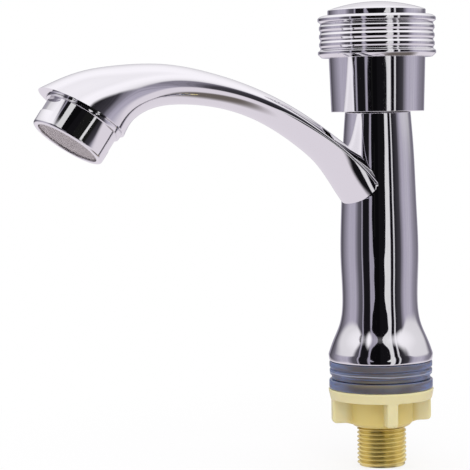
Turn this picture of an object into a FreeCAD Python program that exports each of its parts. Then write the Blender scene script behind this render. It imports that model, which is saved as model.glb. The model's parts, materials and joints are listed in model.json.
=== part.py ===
import FreeCAD, Part
import math
import os

# Pillar basin tap with a cast spout, a ribbed turning handle over a quarter-turn ceramic headwork,
# a screw-in aerator, and the tail, washers and backnut that clamp it to a basin.
# Millimetres. z = 0 is the underside of the cast base, +Z is up and the spout points to -Y.
# "Reach" is the distance from the pillar's axis towards the spout's tip.

# Clearances
thread_gap = 0.06       # radial, between a threaded piece and its thread, both drawn plain
running_gap = 0.05      # radial, a turning shaft in its bore
seat_gap = 0.05         # along Z, a piece that turns on a flat seat
snug_gap = 0.1          # radial, pieces pushed into each other by hand
loose_gap = 0.3         # pieces that pass each other without touching

# Half-inch pipe thread, used by the tail and by the headwork
pipe_thread_r = 10.478

# Pillar: radii of its turned outside from the deck up to the rim under the handle
base_r = 22.2
base_widest_z = 3.0
base_undercut = 0.3     # narrowing from the widest radius to the underside
base_edge_round = 1.1
flare_r, flare_z = 20.4, 8.1
ankle_r, ankle_z = 17.3, 15.7
waist_r, waist_z = 16.0, 26.5
belly_r, belly_z = 16.5, 43.0
chest_r, chest_z = 15.9, 67.0
throat_r, throat_z = 15.0, 90.0
neck_r = 13.4
rim_z = 111.0

# Pillar: inside
chamber_depth = 26.5    # rim to the valve seat
seat_bore_r = 5.5
riser_r = 8.6
riser_top_z = 72.0
riser_cone_h = 6.0
socket_depth = 15.6     # thread for the tail, from the deck up
relief_inner_r = 13.6   # ring cored out of the bell to keep its walls even
relief_outer_r = 18.2
relief_depth = 7.0

# Spout: stations along the arm, from inside the pillar outwards. Each gives the reach and height
# of its back, the reach and height of its underside, the width, the share of the depth that lies
# above the side edge, and how soft that edge is. Those of the head are measured from the centre
# of the lip.
arm_stations = [
    ((-4.0, 74.5), (10.0, 60.0), 25.6, 0.42, 0.10),
    ((5.6, 84.2), (18.4, 70.8), 26.6, 0.42, 0.10),
    ((17.6, 92.6), (27.4, 83.0), 25.4, 0.42, 0.12),
    ((29.5, 100.7), (37.4, 91.5), 23.8, 0.42, 0.16),
    ((45.5, 110.2), (51.3, 100.2), 22.4, 0.42, 0.22),
    ((64.0, 118.2), (67.6, 106.8), 22.0, 0.44, 0.30),
    ((83.0, 123.7), (83.9, 109.8), 23.2, 0.46, 0.38),
]
head_stations = [
    ((-33.6, 18.9), (-36.4, 2.4), 26.6, 0.48, 0.45),
    ((-15.4, 18.4), (-26.0, -0.2), 31.0, 0.50, 0.48),
    ((1.0, 15.8), (-19.4, -4.6), 35.2, 0.50, 0.50),
]
mouth_tilt = 32.0       # degrees between the face of the lip and the deck
mouth_reach = 135.4     # centre of the lip
mouth_z = 107.6
mouth_length = 38.0     # along the spout
mouth_width = 37.6
lip_round = 0.9
outlet_tilt = 35.0      # degrees between the outlet's axis and the vertical
outlet_inset = 1.6      # the outlet's axis lies this far behind the lip's centre
outlet_recess = 0.9     # its seat lies this far inside the lip

# Waterway: reach and height of its centre, its slope in degrees, its depth and its width, in the
# arm and, again from the centre of the lip, in the head
arm_waterway = [
    ((8.2, 88.4), -12.0, 7.4, 10.0),
    ((18.0, 86.0), 14.0, 7.6, 12.0),
    ((32.6, 95.2), 39.0, 7.6, 14.0),
    ((48.2, 105.0), 31.0, 7.2, 14.5),
    ((65.8, 112.4), 19.0, 7.4, 14.5),
    ((83.5, 116.6), 5.0, 8.6, 15.5),
]
head_waterway = [
    ((-35.0, 10.4), -9.0, 10.4, 17.5),
    ((-20.9, 8.2), -26.0, 12.0, 19.0),
    ((-9.9, 3.9), -36.0, 12.0, 19.0),
]

# Outlet socket and aerator, measured along the outlet's axis from its seat in the mouth
socket_thread_r = 13.7
socket_thread_depth = 5.8
plenum_r = 10.6
plenum_depth = 9.0
aerator_r = 15.5
aerator_flats = 27.6    # across the two spanner flats
collar_r = 16.4
collar_h = 2.0
flats_h = 5.2
barrel_h = 7.0          # round part below the flats
barrel_edge = 1.0
aerator_thread_h = 4.5
aerator_wall = 1.4
thread_end = 0.5        # bevel at the start of a thread
outlet_lip_r = 13.2
outlet_lip_h = 0.7
mesh_seat_r = 13.6      # recess behind the lip that holds the mesh
mesh_h = 0.6
insert_h = 11.0
insert_wall = 1.2
insert_floor_h = 2.0
insert_hole_r = 0.8
insert_hole_count = 8
insert_hole_ring = 0.62 # share of the inner radius on which the jets stand
screen_h = 0.4
screen_pitch = 1.6
screen_count = 3

# Headwork, measured from its flange and its seat
flange_r = 12.4
flange_h = 2.0
gasket_h = 1.2
gasket_inner_r = 10.7
hex_flats = 17.0
hex_h = 5.5
collar_top_r = 6.9
collar_top_h = 2.4
headwork_thread_h = 8.6
nose_r = 8.8
nose_wall = 1.4
seal_h = 2.5
seal_standout = 1.2     # of the seal below the headwork's nose
seal_bore_r = 4.9
disc_h = 2.9
disc_hole_inner_r = 1.9
disc_hole_outer_r = 5.6
disc_hole_angle = 82.0
disc_tab_w = 3.0
window_h = 4.6
window_angle = 80.0
window_turns = (90, 270)    # directions of the two windows, in degrees from +X

# Spindle
shank_r = 5.0
foot_r = 6.8
foot_h = 2.0
dog_w = 2.2
dog_h = 1.5             # also the depth of the moving disc's slot
spline_tip_r = 4.0
spline_root_r = 3.65
spline_teeth = 20
spline_h = 10.0
spline_relief_h = 1.0   # plain part below the teeth
spindle_head_gap = 1.5  # top of the spindle to the floor of the handle
ring_section_r = 0.75   # cord of the sealing rings
ring_sides = 6          # sides of this cord as drawn
ring_groove_w = 1.9
ring_count = 2
ring_pitch = 4.2
thrust_h = 1.0
clip_h = 0.9
clip_outer_r = 6.5
clip_groove_r = 4.1
clip_opening = 70.0
clip_turn = 180.0       # direction of the opening
lug_w = 2.4
lug_r = 6.3
lug_h = 1.6
handle_travel = 90.0    # degrees from shut to open
lug_play = 2.0          # degrees left at each end of the travel

# Handle; its heights are measured from the pillar's rim
skirt_drop = 5.1        # foot of the skirt, below the rim
skirt_bottom_r = 19.6
skirt_top_r = 20.35
skirt_wall = 1.7
block_rise = 17.8       # underside of the ribbed block
rib_count = 5
rib_pitch = 3.47
rib_r = 24.9            # first and last rib
rib_middle_r = 24.35
groove_r = 23.4
rib_w = 2.75
rib_crest_w = 1.0       # flat at the crest of each rib
block_wall = 1.8
shoulder_h = 2.0        # rise from the crest of the last rib to the cap's seat
shoulder_bulge = 0.6    # of the shoulder beyond a straight slope
cap_seat_r = 20.9
well_r = 16.6
well_floor_rise = 27.4
floor_h = 2.5
boss_r = 6.4
boss_rise = 13.6
web_w = 1.4
web_h = 9.0
web_count = 6
web_turn = 30.0         # direction of the first web
cap_r = 20.7
cap_rim_h = 2.0
cap_rim_edge = 0.3      # width of the bevel between rim and dome
cap_rim_drop = 0.3      # height of this bevel
cap_dome_h = 4.2
cap_wall = 1.3
cap_ring_depth = 4.6
screw_thread_r = 2.0
screw_h = 12.0          # depth of the threaded hole in the spindle
screw_end_gap = 2.0     # left below the screw in this hole
screw_head_r = 3.6
screw_head_h = 2.6
screw_slot_w = 1.0      # cross recess in the head
screw_slot_reach = 0.6  # share of the head's radius
screw_slot_depth = 1.3
screw_washer_h = 0.8
screw_washer_r = 4.4

# Tail, washers and backnut below the base
tail_length = 44.9      # below the base
tail_bore_r = 7.6
tail_edge = 1.0
tail_seal_h = 1.5
free_thread_mark_w = 0.7
free_thread_mark_depth = 0.25
gasket_base_h = 7.4
gasket_waist_r = 20.7
gasket_foot_r = 20.3
gasket_lip_h = 2.6
gasket_second_z = 3.3   # depth of the second lip's upper edge
gasket_edge = 0.6
washer_standout = 0.15  # beyond the rim of the base's underside
washer_h = 3.9
washer_edge = 0.6
nut_rim_r = 22.5
nut_rim_foot_r = 21.6
nut_rim_h = 4.4
nut_hub_r = 13.4
nut_h = 16.2
nut_hub_edge = 1.6
nut_wing_r = 21.5
nut_wing_w = 4.6
nut_wing_h = 14.6
nut_wing_corner = 2.0
nut_wing_count = 4
nut_wing_turn = 72.0    # degrees from the spout to the first wing


def vec(x, y, z):
    return FreeCAD.Vector(x, y, z)


up = vec(0, 0, 1)
origin = vec(0, 0, 0)


def rod(radius, z0, z1):
    return Part.makeCylinder(radius, z1 - z0, vec(0, 0, z0))


def ring(inner_r, outer_r, z0, z1):
    return rod(outer_r, z0, z1).cut(rod(inner_r, z0 - 1, z1 + 1))


def block(x0, x1, y0, y1, z0, z1):
    return Part.makeBox(x1 - x0, y1 - y0, z1 - z0, vec(x0, y0, z0))


def turned(outline):
    """Solid of revolution about Z from corners given as (radius, height)."""
    corners = [vec(r, 0, z) for r, z in outline]
    face = Part.Face(Part.makePolygon(corners + corners[:1]))
    return face.revolve(origin, up, 360)


def sector(inner_r, outer_r, z0, z1, middle, angle):
    """Part of a ring: angle degrees wide, centred on the direction middle, from +X."""
    whole = Part.makeCylinder(outer_r, z1 - z0, vec(0, 0, z0), up, angle)
    wedge = whole.cut(rod(inner_r, z0 - 1, z1 + 1))
    wedge.rotate(origin, up, middle - angle / 2)
    return wedge


def hexagon(flats, z0, z1):
    corner = flats / math.sqrt(3)
    points = []
    for i in range(7):
        a = math.radians(60 * i)
        points.append(vec(corner * math.cos(a), corner * math.sin(a), z0))
    return Part.Face(Part.makePolygon(points)).extrude(up * (z1 - z0))


def around(shape, count, start=0.0):
    """Copies of a shape, evenly spaced round Z."""
    copies = []
    for i in range(count):
        copy = shape.copy()
        copy.rotate(origin, up, start + 360.0 * i / count)
        copies.append(copy)
    return copies


def round_edge(shape, radius, height, size):
    """Fillet of the circular edge with this radius at this height."""
    edges = []
    for edge in shape.Edges:
        if isinstance(edge.Curve, Part.Circle):
            at = edge.Curve.Center.z
            if abs(at - height) < 1e-3 and abs(edge.Curve.Radius - radius) < 1e-3:
                edges.append(edge)
    return shape.makeFillet(size, edges)


# Radii and levels that follow from the sizes above
base_underside_r = base_r - base_undercut
washer_r = base_underside_r + washer_standout
skirt_z = rim_z - skirt_drop
block_z = rim_z + block_rise
boss_z = rim_z + boss_rise
well_floor_z = rim_z + well_floor_rise
seat_z = rim_z - chamber_depth
flange_z = rim_z + gasket_h
hex_z = flange_z + flange_h
collar_z = hex_z + hex_h
headwork_top_z = collar_z + collar_top_h
nose_z = seat_z + seal_standout
disc_z = seat_z + seal_h
moving_disc_z = disc_z + disc_h + seat_gap
foot_z = moving_disc_z + disc_h + dog_h / 3
thrust_z = foot_z + foot_h + seat_gap
shoulder_z = thrust_z + thrust_h + seat_gap
disc_r = nose_r - nose_wall - running_gap
clip_z = headwork_top_z + seat_gap
spindle_top_z = well_floor_z - floor_h - spindle_head_gap
last_rib_z = block_z + rib_w / 2 + (rib_count - 1) * rib_pitch
cap_seat_z = last_rib_z + shoulder_h
nut_z = -gasket_base_h - loose_gap - washer_h - seat_gap
bore_clear_r = pipe_thread_r + thread_gap
aerator_bore_r = socket_thread_r - aerator_wall
insert_r = aerator_bore_r - snug_gap
mesh_z = -collar_h - flats_h - barrel_h + outlet_lip_h
insert_z = mesh_z + mesh_h
cap_ring_r = well_r - snug_gap


def on_outlet_axis(shape):
    """Move a shape drawn on Z, with the outlet's seat at z = 0, to the outlet."""
    a = math.radians(outlet_tilt)
    reach = mouth_reach - outlet_inset * math.cos(a) - outlet_recess * math.sin(a)
    height = mouth_z - outlet_inset * math.sin(a) + outlet_recess * math.cos(a)
    tilt = FreeCAD.Rotation(vec(1, 0, 0), -outlet_tilt)
    placed = shape.copy()
    placed.Placement = FreeCAD.Placement(vec(0, -reach, height), tilt)
    return placed


def half_oval(side, depth, softness):
    """Corners of three tangent arcs from (side, 0) over (0, depth) to (-side, 0).

    Returns the tangent point and the middle of the edge arc, in the first quadrant.
    """
    sharpest = math.pi / 2 - 2 * math.atan(depth / side)
    angle = sharpest + (math.pi / 2 - sharpest) * softness
    slope = (1 - math.sin(angle)) / math.cos(angle)
    edge_r = (depth - side * slope) / (1 - slope)
    tangent = (side - edge_r + edge_r * math.cos(angle), edge_r * math.sin(angle))
    middle = (side - edge_r + edge_r * math.cos(angle / 2), edge_r * math.sin(angle / 2))
    return tangent, middle


def oval(back, underside, width, share, softness):
    """Closed wire of six tangent arcs, in the plane through the arm's back and its underside."""
    depth = math.hypot(back[0] - underside[0], back[1] - underside[1])
    lift = ((back[0] - underside[0]) / depth, (back[1] - underside[1]) / depth)
    below = depth * (1 - share)
    edge = (underside[0] + lift[0] * below, underside[1] + lift[1] * below)

    def at(x, y):
        return vec(x, -(edge[0] + lift[0] * y), edge[1] + lift[1] * y)

    side = width / 2
    arcs = []
    for sign, reach in ((1, depth * share), (-1, below)):
        (tx, ty), (mx, my) = half_oval(side, reach, softness)
        ty, my, top = sign * ty, sign * my, sign * reach
        first = Part.Arc(at(sign * side, 0), at(sign * mx, my), at(sign * tx, ty))
        crown = Part.Arc(at(sign * tx, ty), at(0, top), at(-sign * tx, ty))
        last = Part.Arc(at(-sign * tx, ty), at(-sign * mx, my), at(-sign * side, 0))
        arcs += [first.toShape(), crown.toShape(), last.toShape()]
    return Part.Wire(arcs)


def from_lip(point):
    """A point of the head, given from the centre of the lip."""
    return (mouth_reach + point[0], mouth_z + point[1])


def mouth_station():
    a = math.radians(mouth_tilt)
    half = mouth_length / 2
    back = (mouth_reach + half * math.cos(a), mouth_z + half * math.sin(a))
    underside = (mouth_reach - half * math.cos(a), mouth_z - half * math.sin(a))
    return (back, underside, mouth_width, 0.5, 0.5)


def ellipse_wire(centre, slope, depth, width):
    """Ellipse across a path that rises at this slope."""
    a = math.radians(slope)
    ahead = vec(0, -math.cos(a), math.sin(a))
    middle = vec(0, -centre[0], centre[1])
    across = vec(1, 0, 0)
    lift = across.cross(ahead)
    curve = Part.Ellipse(middle + across * (width / 2), middle + lift * (depth / 2), middle)
    return Part.Wire([curve.toShape()])


def pillar_outside():
    outline = [
        (base_r, base_widest_z),
        (flare_r, flare_z),
        (ankle_r, ankle_z),
        (waist_r, waist_z),
        (belly_r, belly_z),
        (chest_r, chest_z),
        (throat_r, throat_z),
        (neck_r, rim_z),
    ]
    points = [vec(r, 0, z) for r, z in outline]
    curve = Part.BSplineCurve()
    curve.interpolate(points)
    foot = Part.LineSegment(vec(base_underside_r, 0, 0), points[0])
    underside = Part.LineSegment(origin, vec(base_underside_r, 0, 0))
    top = Part.LineSegment(points[-1], vec(0, 0, rim_z))
    axis = Part.LineSegment(vec(0, 0, rim_z), origin)
    edges = [piece.toShape() for piece in (underside, foot, curve, top, axis)]
    solid = Part.Face(Part.Wire(edges)).revolve(origin, up, 360)
    return round_edge(solid, base_underside_r, 0.0, base_edge_round)


def spout_outside():
    head = [(from_lip(back), from_lip(under), *rest) for back, under, *rest in head_stations]
    stations = arm_stations + head + [mouth_station()]
    arm = Part.makeLoft([oval(*station) for station in stations], True, False)
    a = math.radians(mouth_tilt)
    lip_centre = vec(0, -mouth_reach, mouth_z)
    outward = vec(0, -math.sin(a), -math.cos(a))
    lip = []
    for edge in arm.Edges:
        if max(abs((corner.Point - lip_centre).dot(outward)) for corner in edge.Vertexes) < 1e-3:
            lip.append(edge)
    return arm.makeFillet(lip_round, lip)


def waterway():
    stations = arm_waterway + [(from_lip(centre), *rest) for centre, *rest in head_waterway]
    return Part.makeLoft([ellipse_wire(*station) for station in stations], True, True)


def tap_body():
    body = pillar_outside().fuse(spout_outside()).removeSplitter()
    inside = [
        rod(bore_clear_r, seat_z, rim_z + 1),
        rod(seat_bore_r, riser_top_z, seat_z + 1),
        Part.makeCone(riser_r, seat_bore_r, riser_cone_h, vec(0, 0, riser_top_z - riser_cone_h)),
        rod(riser_r, socket_depth, riser_top_z - riser_cone_h),
        rod(bore_clear_r, -1, socket_depth),
        ring(relief_inner_r, relief_outer_r, -1, relief_depth),
        waterway(),
        on_outlet_axis(rod(collar_r + thread_gap, -4, 0)),
        on_outlet_axis(rod(socket_thread_r + thread_gap, -1, socket_thread_depth)),
        on_outlet_axis(rod(plenum_r, 0, plenum_depth)),
    ]
    for hollow in inside:
        body = body.cut(hollow)
    return body


def inlet_tail():
    top = socket_depth - tail_seal_h
    foot = -tail_length
    outline = [
        (tail_bore_r, top),
        (pipe_thread_r - tail_edge, top),
        (pipe_thread_r, top - tail_edge),
        (pipe_thread_r, foot + tail_edge),
        (pipe_thread_r - tail_edge, foot),
        (tail_bore_r, foot),
    ]
    mark_z = nut_z - nut_h - free_thread_mark_w
    mark_r = pipe_thread_r - free_thread_mark_depth
    return turned(outline).cut(ring(mark_r, pipe_thread_r + 1, mark_z, mark_z + free_thread_mark_w))


def tail_seal():
    return ring(riser_r, pipe_thread_r, socket_depth - tail_seal_h, socket_depth)


def base_gasket():
    """Rubber washer with two lips, between the base and the basin."""
    second = -gasket_second_z
    outline = [
        (pipe_thread_r + 2 * loose_gap, 0.0),
        (base_underside_r - gasket_edge, 0.0),
        (base_underside_r, -gasket_edge),
        (base_underside_r, gasket_edge - gasket_lip_h),
        (gasket_waist_r, -gasket_lip_h),
        (gasket_waist_r, second),
        (base_underside_r, second - gasket_edge),
        (base_underside_r, second + gasket_edge - gasket_lip_h),
        (gasket_foot_r, second - gasket_lip_h),
        (gasket_foot_r, -gasket_base_h),
        (pipe_thread_r + 2 * loose_gap, -gasket_base_h),
    ]
    return turned(outline)


def deck_washer():
    top = -gasket_base_h - loose_gap
    foot = top - washer_h
    outline = [
        (pipe_thread_r + 2 * loose_gap, top),
        (washer_r - washer_edge, top),
        (washer_r, top - washer_edge),
        (washer_r, foot + washer_edge),
        (washer_r - washer_edge, foot),
        (pipe_thread_r + 2 * loose_gap, foot),
    ]
    return turned(outline)


def backnut():
    """Hand nut: a tapered rim, a hub and four wings."""
    rim_foot = nut_z - nut_rim_h
    foot = nut_z - nut_h
    outline = [
        (bore_clear_r, nut_z),
        (nut_rim_r, nut_z),
        (nut_rim_foot_r, rim_foot),
        (nut_hub_r, rim_foot),
        (nut_hub_r, foot + nut_hub_edge),
        (nut_hub_r - nut_hub_edge, foot),
        (bore_clear_r, foot),
    ]
    nut = turned(outline)
    wing_foot = nut_z - nut_wing_h
    corners = [
        vec(bore_clear_r + 1, 0, rim_foot + 1),
        vec(nut_wing_r, 0, rim_foot + 1),
        vec(nut_wing_r, 0, wing_foot + nut_wing_corner / 2),
        vec(nut_wing_r - nut_wing_corner / 2, 0, wing_foot),
        vec(nut_hub_r + nut_wing_corner, 0, wing_foot),
        vec(nut_hub_r - nut_hub_edge / 2, 0, foot + nut_hub_edge / 2),
        vec(bore_clear_r + 1, 0, foot + nut_hub_edge / 2),
    ]
    plate = Part.Face(Part.makePolygon(corners + corners[:1]))
    wing = plate.extrude(vec(0, nut_wing_w, 0))
    wing.translate(vec(0, -nut_wing_w / 2, 0))
    for copy in around(wing, nut_wing_count, nut_wing_turn - 90):
        nut = nut.fuse(copy)
    return nut.removeSplitter()


def aerator_housing():
    """Outlet ring with two spanner flats, a collar under the lip and a thread above it."""
    flats_top = -collar_h
    flats_foot = flats_top - flats_h
    foot = flats_foot - barrel_h
    outline = [
        (0, aerator_thread_h),
        (socket_thread_r - thread_end, aerator_thread_h),
        (socket_thread_r, aerator_thread_h - thread_end),
        (socket_thread_r, 0),
        (collar_r, 0),
        (collar_r, flats_top),
        (aerator_r, flats_top),
        (aerator_r, foot + barrel_edge),
        (aerator_r - barrel_edge, foot),
        (0, foot),
    ]
    shape = turned(outline)
    wide = aerator_r + 1
    for sign in (-1, 1):
        inner, outer = sorted((sign * aerator_flats / 2, sign * wide))
        shape = shape.cut(block(-wide, wide, inner, outer, flats_foot, flats_top))
    shape = shape.cut(rod(aerator_bore_r, mesh_z, aerator_thread_h + 1))
    shape = shape.cut(rod(mesh_seat_r, mesh_z, insert_z))
    return shape.cut(rod(outlet_lip_r, foot - 1, insert_z))


def outlet_mesh():
    return rod(mesh_seat_r - snug_gap, mesh_z, insert_z)


def aerator_insert():
    """Cup with a ring of jets in its floor, which mixes the air in."""
    inner_r = insert_r - insert_wall
    floor_z = insert_z + insert_floor_h
    top = insert_z + insert_h
    cup = rod(insert_r, insert_z, top).cut(rod(inner_r, floor_z, top + 1))
    jet = rod(insert_hole_r, insert_z - 1, floor_z + 1)
    jet.translate(vec(inner_r * insert_hole_ring, 0, 0))
    for copy in around(jet, insert_hole_count):
        cup = cup.cut(copy)
    return cup


def aerator_screens():
    """Wire discs laid over each other in the insert."""
    foot = insert_z + insert_floor_h + screen_pitch
    disc_radius = insert_r - insert_wall - snug_gap
    discs = []
    for i in range(screen_count):
        z = foot + i * screen_pitch
        discs.append(rod(disc_radius, z, z + screen_h))
    return Part.makeCompound(discs)


def aerator_washer():
    return ring(plenum_r, socket_thread_r - snug_gap, aerator_thread_h, socket_thread_depth)


def disc_holes(z0, z1, turn):
    holes = []
    for middle in (turn, turn + 180):
        holes.append(sector(disc_hole_inner_r, disc_hole_outer_r, z0, z1, middle, disc_hole_angle))
    return holes


def cartridge_housing():
    """Brass headwork: hexagon and flange above the rim, thread and windowed nose below it."""
    bore_r = nose_r - nose_wall
    shape = hexagon(hex_flats, hex_z, collar_z)
    shape = shape.fuse(rod(flange_r, flange_z, hex_z))
    shape = shape.fuse(rod(collar_top_r, collar_z, headwork_top_z))
    shape = shape.fuse(rod(gasket_inner_r - snug_gap, rim_z, flange_z))
    shape = shape.fuse(rod(pipe_thread_r, rim_z - headwork_thread_h, rim_z))
    shape = shape.fuse(rod(nose_r, nose_z, rim_z - headwork_thread_h))
    shape = shape.cut(rod(bore_r, nose_z - 1, shoulder_z))
    shape = shape.cut(rod(shank_r + running_gap, shoulder_z - 1, headwork_top_z + 1))
    window_z = moving_disc_z + disc_h / 2
    for middle in window_turns:
        cutter = sector(bore_r - 1, nose_r + 1, window_z, window_z + window_h, middle, window_angle)
        shape = shape.cut(cutter)
    slot = block(-nose_r - 1, nose_r + 1, -disc_tab_w / 2, disc_tab_w / 2, nose_z - 1, disc_z + disc_h)
    shape = shape.cut(slot)
    sweep = handle_travel + 2 * lug_play + 2 * math.degrees(math.asin(lug_w / 2 / shank_r))
    notch_z = headwork_top_z - lug_h - 2 * seat_gap
    notch = sector(shank_r - 1, collar_top_r + 1, notch_z, headwork_top_z + 1, handle_travel / 2, sweep)
    return shape.cut(notch)


def housing_gasket():
    return ring(gasket_inner_r, flange_r, rim_z, flange_z)


def seat_seal():
    return ring(seal_bore_r, disc_r, seat_z, disc_z)


def fixed_disc():
    """Lower ceramic disc, held from turning by two tabs."""
    shape = rod(disc_r, disc_z, disc_z + disc_h)
    tab_reach = nose_r - snug_gap
    half = disc_tab_w / 2 - running_gap
    shape = shape.fuse(block(-tab_reach, tab_reach, -half, half, disc_z, disc_z + disc_h))
    for hole in disc_holes(disc_z - 1, disc_z + disc_h + 1, 90):
        shape = shape.cut(hole)
    return shape.removeSplitter()


def rotating_disc():
    """Upper ceramic disc, turned by the spindle's two dogs."""
    top = moving_disc_z + disc_h
    shape = rod(disc_r - running_gap, moving_disc_z, top)
    for hole in disc_holes(moving_disc_z - 1, top + 1, 0):
        shape = shape.cut(hole)
    half = dog_w / 2 + running_gap
    slot = block(-half, half, -disc_r, disc_r, top - dog_h, top + 1)
    core = rod(disc_hole_inner_r + dog_w, top - dog_h - 1, top + 1)
    return shape.cut(slot.cut(core))


def spline(tip_r, root_r, z0, z1):
    """Toothed shaft with straight-sided teeth."""
    points = []
    steps = 4 * spline_teeth
    for i in range(steps):
        a = 2 * math.pi * i / steps
        r = tip_r if i % 4 < 2 else root_r
        points.append(vec(r * math.cos(a), r * math.sin(a), z0))
    return Part.Face(Part.makePolygon(points + points[:1])).extrude(up * (z1 - z0))


def ring_centres():
    """Heights of the sealing rings on the shank."""
    first = shoulder_z + ring_pitch
    return [first + i * ring_pitch for i in range(ring_count)]


def spindle():
    """Drive foot with two dogs, a grooved shank with its stop lug, and the toothed end."""
    spline_z = spindle_top_z - spline_h
    shank_top = spline_z - spline_relief_h
    shape = rod(foot_r, foot_z, foot_z + foot_h)
    shape = shape.fuse(rod(shank_r, foot_z, shank_top))
    shape = shape.fuse(rod(spline_root_r, shank_top, spline_z))
    shape = shape.fuse(spline(spline_tip_r, spline_root_r, spline_z, spindle_top_z))
    dogs = block(-dog_w / 2, dog_w / 2, -foot_r, foot_r, foot_z - dog_h, foot_z)
    dogs = dogs.common(rod(disc_r - loose_gap, foot_z - dog_h, foot_z))
    core = rod(disc_hole_inner_r + dog_w + snug_gap, foot_z - dog_h - 1, foot_z)
    shape = shape.fuse(dogs.cut(core))
    lug_z = headwork_top_z - lug_h - seat_gap
    shape = shape.fuse(block(0, lug_r, -lug_w / 2, lug_w / 2, lug_z, lug_z + lug_h))
    for z in ring_centres():
        half = ring_groove_w / 2
        shape = shape.cut(ring(shank_r - 2 * ring_section_r, shank_r + 1, z - half, z + half))
    shape = shape.cut(ring(clip_groove_r, shank_r + 1, clip_z, clip_z + clip_h + 2 * seat_gap))
    return shape.cut(rod(screw_thread_r + thread_gap, spindle_top_z - screw_h, spindle_top_z + 1))


def spindle_o_rings():
    """Sealing rings, their round cord drawn with a few flat sides."""
    rings = []
    for z in ring_centres():
        section = []
        for i in range(ring_sides):
            a = math.radians(360 / ring_sides * i)
            middle = shank_r - ring_section_r
            section.append((middle + ring_section_r * math.cos(a), z + ring_section_r * math.sin(a)))
        rings.append(turned(section))
    return Part.makeCompound(rings)


def spindle_clip():
    foot = clip_z + seat_gap
    shape = ring(clip_groove_r + running_gap, clip_outer_r, foot, foot + clip_h)
    return shape.cut(sector(0, clip_outer_r + 1, foot - 1, foot + clip_h + 1, clip_turn, clip_opening))


def thrust_washer():
    return ring(shank_r + snug_gap, foot_r, thrust_z, thrust_z + thrust_h)


def ribbed_outline():
    """Corners of the ribbed block's outside, from its underside up to the crest of the last rib."""
    corners = []
    for i in range(rib_count):
        middle = block_z + rib_w / 2 + rib_pitch * i
        crest_r = rib_r if i in (0, rib_count - 1) else rib_middle_r
        corners.append(vec(groove_r, 0, middle - rib_w / 2))
        corners.append(vec(crest_r, 0, middle - rib_crest_w / 2))
        corners.append(vec(crest_r, 0, middle + rib_crest_w / 2))
        corners.append(vec(groove_r, 0, middle + rib_w / 2))
    return corners[:-1]


def handle_knob():
    """Hollow turned handle: plain skirt, ribbed block, well for the cap, and the toothed boss."""
    ribs = ribbed_outline()
    crest = ribs[-1]
    seat = vec(cap_seat_r, 0, cap_seat_z)
    bulge = (crest + seat) * 0.5 + vec(shoulder_bulge, 0, shoulder_bulge)
    inner_skirt_foot = skirt_bottom_r - skirt_wall
    inner_skirt_top = skirt_top_r - skirt_wall
    inner_block = groove_r - block_wall
    deck = cap_seat_z - block_wall
    floor_foot = well_floor_z - floor_h
    corners = [
        seat,
        vec(well_r, 0, cap_seat_z),
        vec(well_r, 0, well_floor_z),
        vec(0, 0, well_floor_z),
        vec(0, 0, boss_z),
        vec(boss_r, 0, boss_z),
        vec(boss_r, 0, floor_foot),
        vec(well_r + block_wall, 0, floor_foot),
        vec(well_r + block_wall, 0, deck),
        vec(inner_block, 0, deck),
        vec(inner_block, 0, block_z + skirt_wall),
        vec(inner_skirt_top, 0, block_z + skirt_wall),
        vec(inner_skirt_top, 0, block_z),
        vec(inner_skirt_foot, 0, skirt_z),
        vec(skirt_bottom_r, 0, skirt_z),
        vec(skirt_top_r, 0, block_z),
    ] + ribs
    edges = [Part.Arc(crest, bulge, seat).toShape()]
    for a, b in zip(corners, corners[1:]):
        edges.append(Part.LineSegment(a, b).toShape())
    knob = Part.Face(Part.Wire(edges)).revolve(origin, up, 360)
    web_foot = floor_foot - web_h
    web = block(boss_r - 1, inner_block + 1, -web_w / 2, web_w / 2, web_foot, floor_foot + 1)
    keep = rod(inner_skirt_top, skirt_z, block_z + skirt_wall)
    web = web.common(keep.fuse(rod(inner_block + snug_gap, block_z + skirt_wall, deck)))
    for copy in around(web, web_count, web_turn):
        knob = knob.fuse(copy)
    tip = spline_tip_r + running_gap
    root = spline_root_r + running_gap
    knob = knob.cut(spline(tip, root, boss_z - 1, floor_foot - snug_gap))
    shank_room_z = spindle_top_z - spline_h - spline_relief_h + loose_gap
    knob = knob.cut(rod(shank_r + loose_gap, boss_z - 1, shank_room_z))
    return knob.cut(rod(screw_thread_r + loose_gap, floor_foot - 1, well_floor_z + 1))


def handle_cap():
    """Domed cap with a ring that snaps into the handle's well."""
    rim_top = cap_seat_z + cap_rim_h
    dome_foot_r = cap_r - cap_rim_edge
    dome_r = (dome_foot_r ** 2 + cap_dome_h ** 2) / (2 * cap_dome_h)
    centre_z = rim_top + cap_dome_h - dome_r
    outer = [
        vec(0, 0, cap_seat_z),
        vec(cap_r, 0, cap_seat_z),
        vec(cap_r, 0, rim_top - cap_rim_drop),
        vec(dome_foot_r, 0, rim_top),
    ]
    top = vec(0, 0, rim_top + cap_dome_h)
    a = math.asin(dome_foot_r / dome_r) / 2
    via = vec(dome_r * math.sin(a), 0, centre_z + dome_r * math.cos(a))
    edges = [Part.LineSegment(p, q).toShape() for p, q in zip(outer, outer[1:])]
    edges.append(Part.Arc(outer[-1], via, top).toShape())
    edges.append(Part.LineSegment(top, outer[0]).toShape())
    cap = Part.Face(Part.Wire(edges)).revolve(origin, up, 360)
    bore_r = cap_ring_r - cap_wall
    ring_foot = cap_seat_z - cap_ring_depth
    edge_z = centre_z + math.sqrt(dome_r ** 2 - bore_r ** 2) - cap_wall
    cap = cap.fuse(rod(cap_ring_r, ring_foot, cap_seat_z + cap_rim_h / 2))
    hollow = turned([(0, ring_foot - 1), (bore_r, ring_foot - 1), (bore_r, edge_z), (0, top.z - cap_wall)])
    return cap.cut(hollow).removeSplitter()


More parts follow.
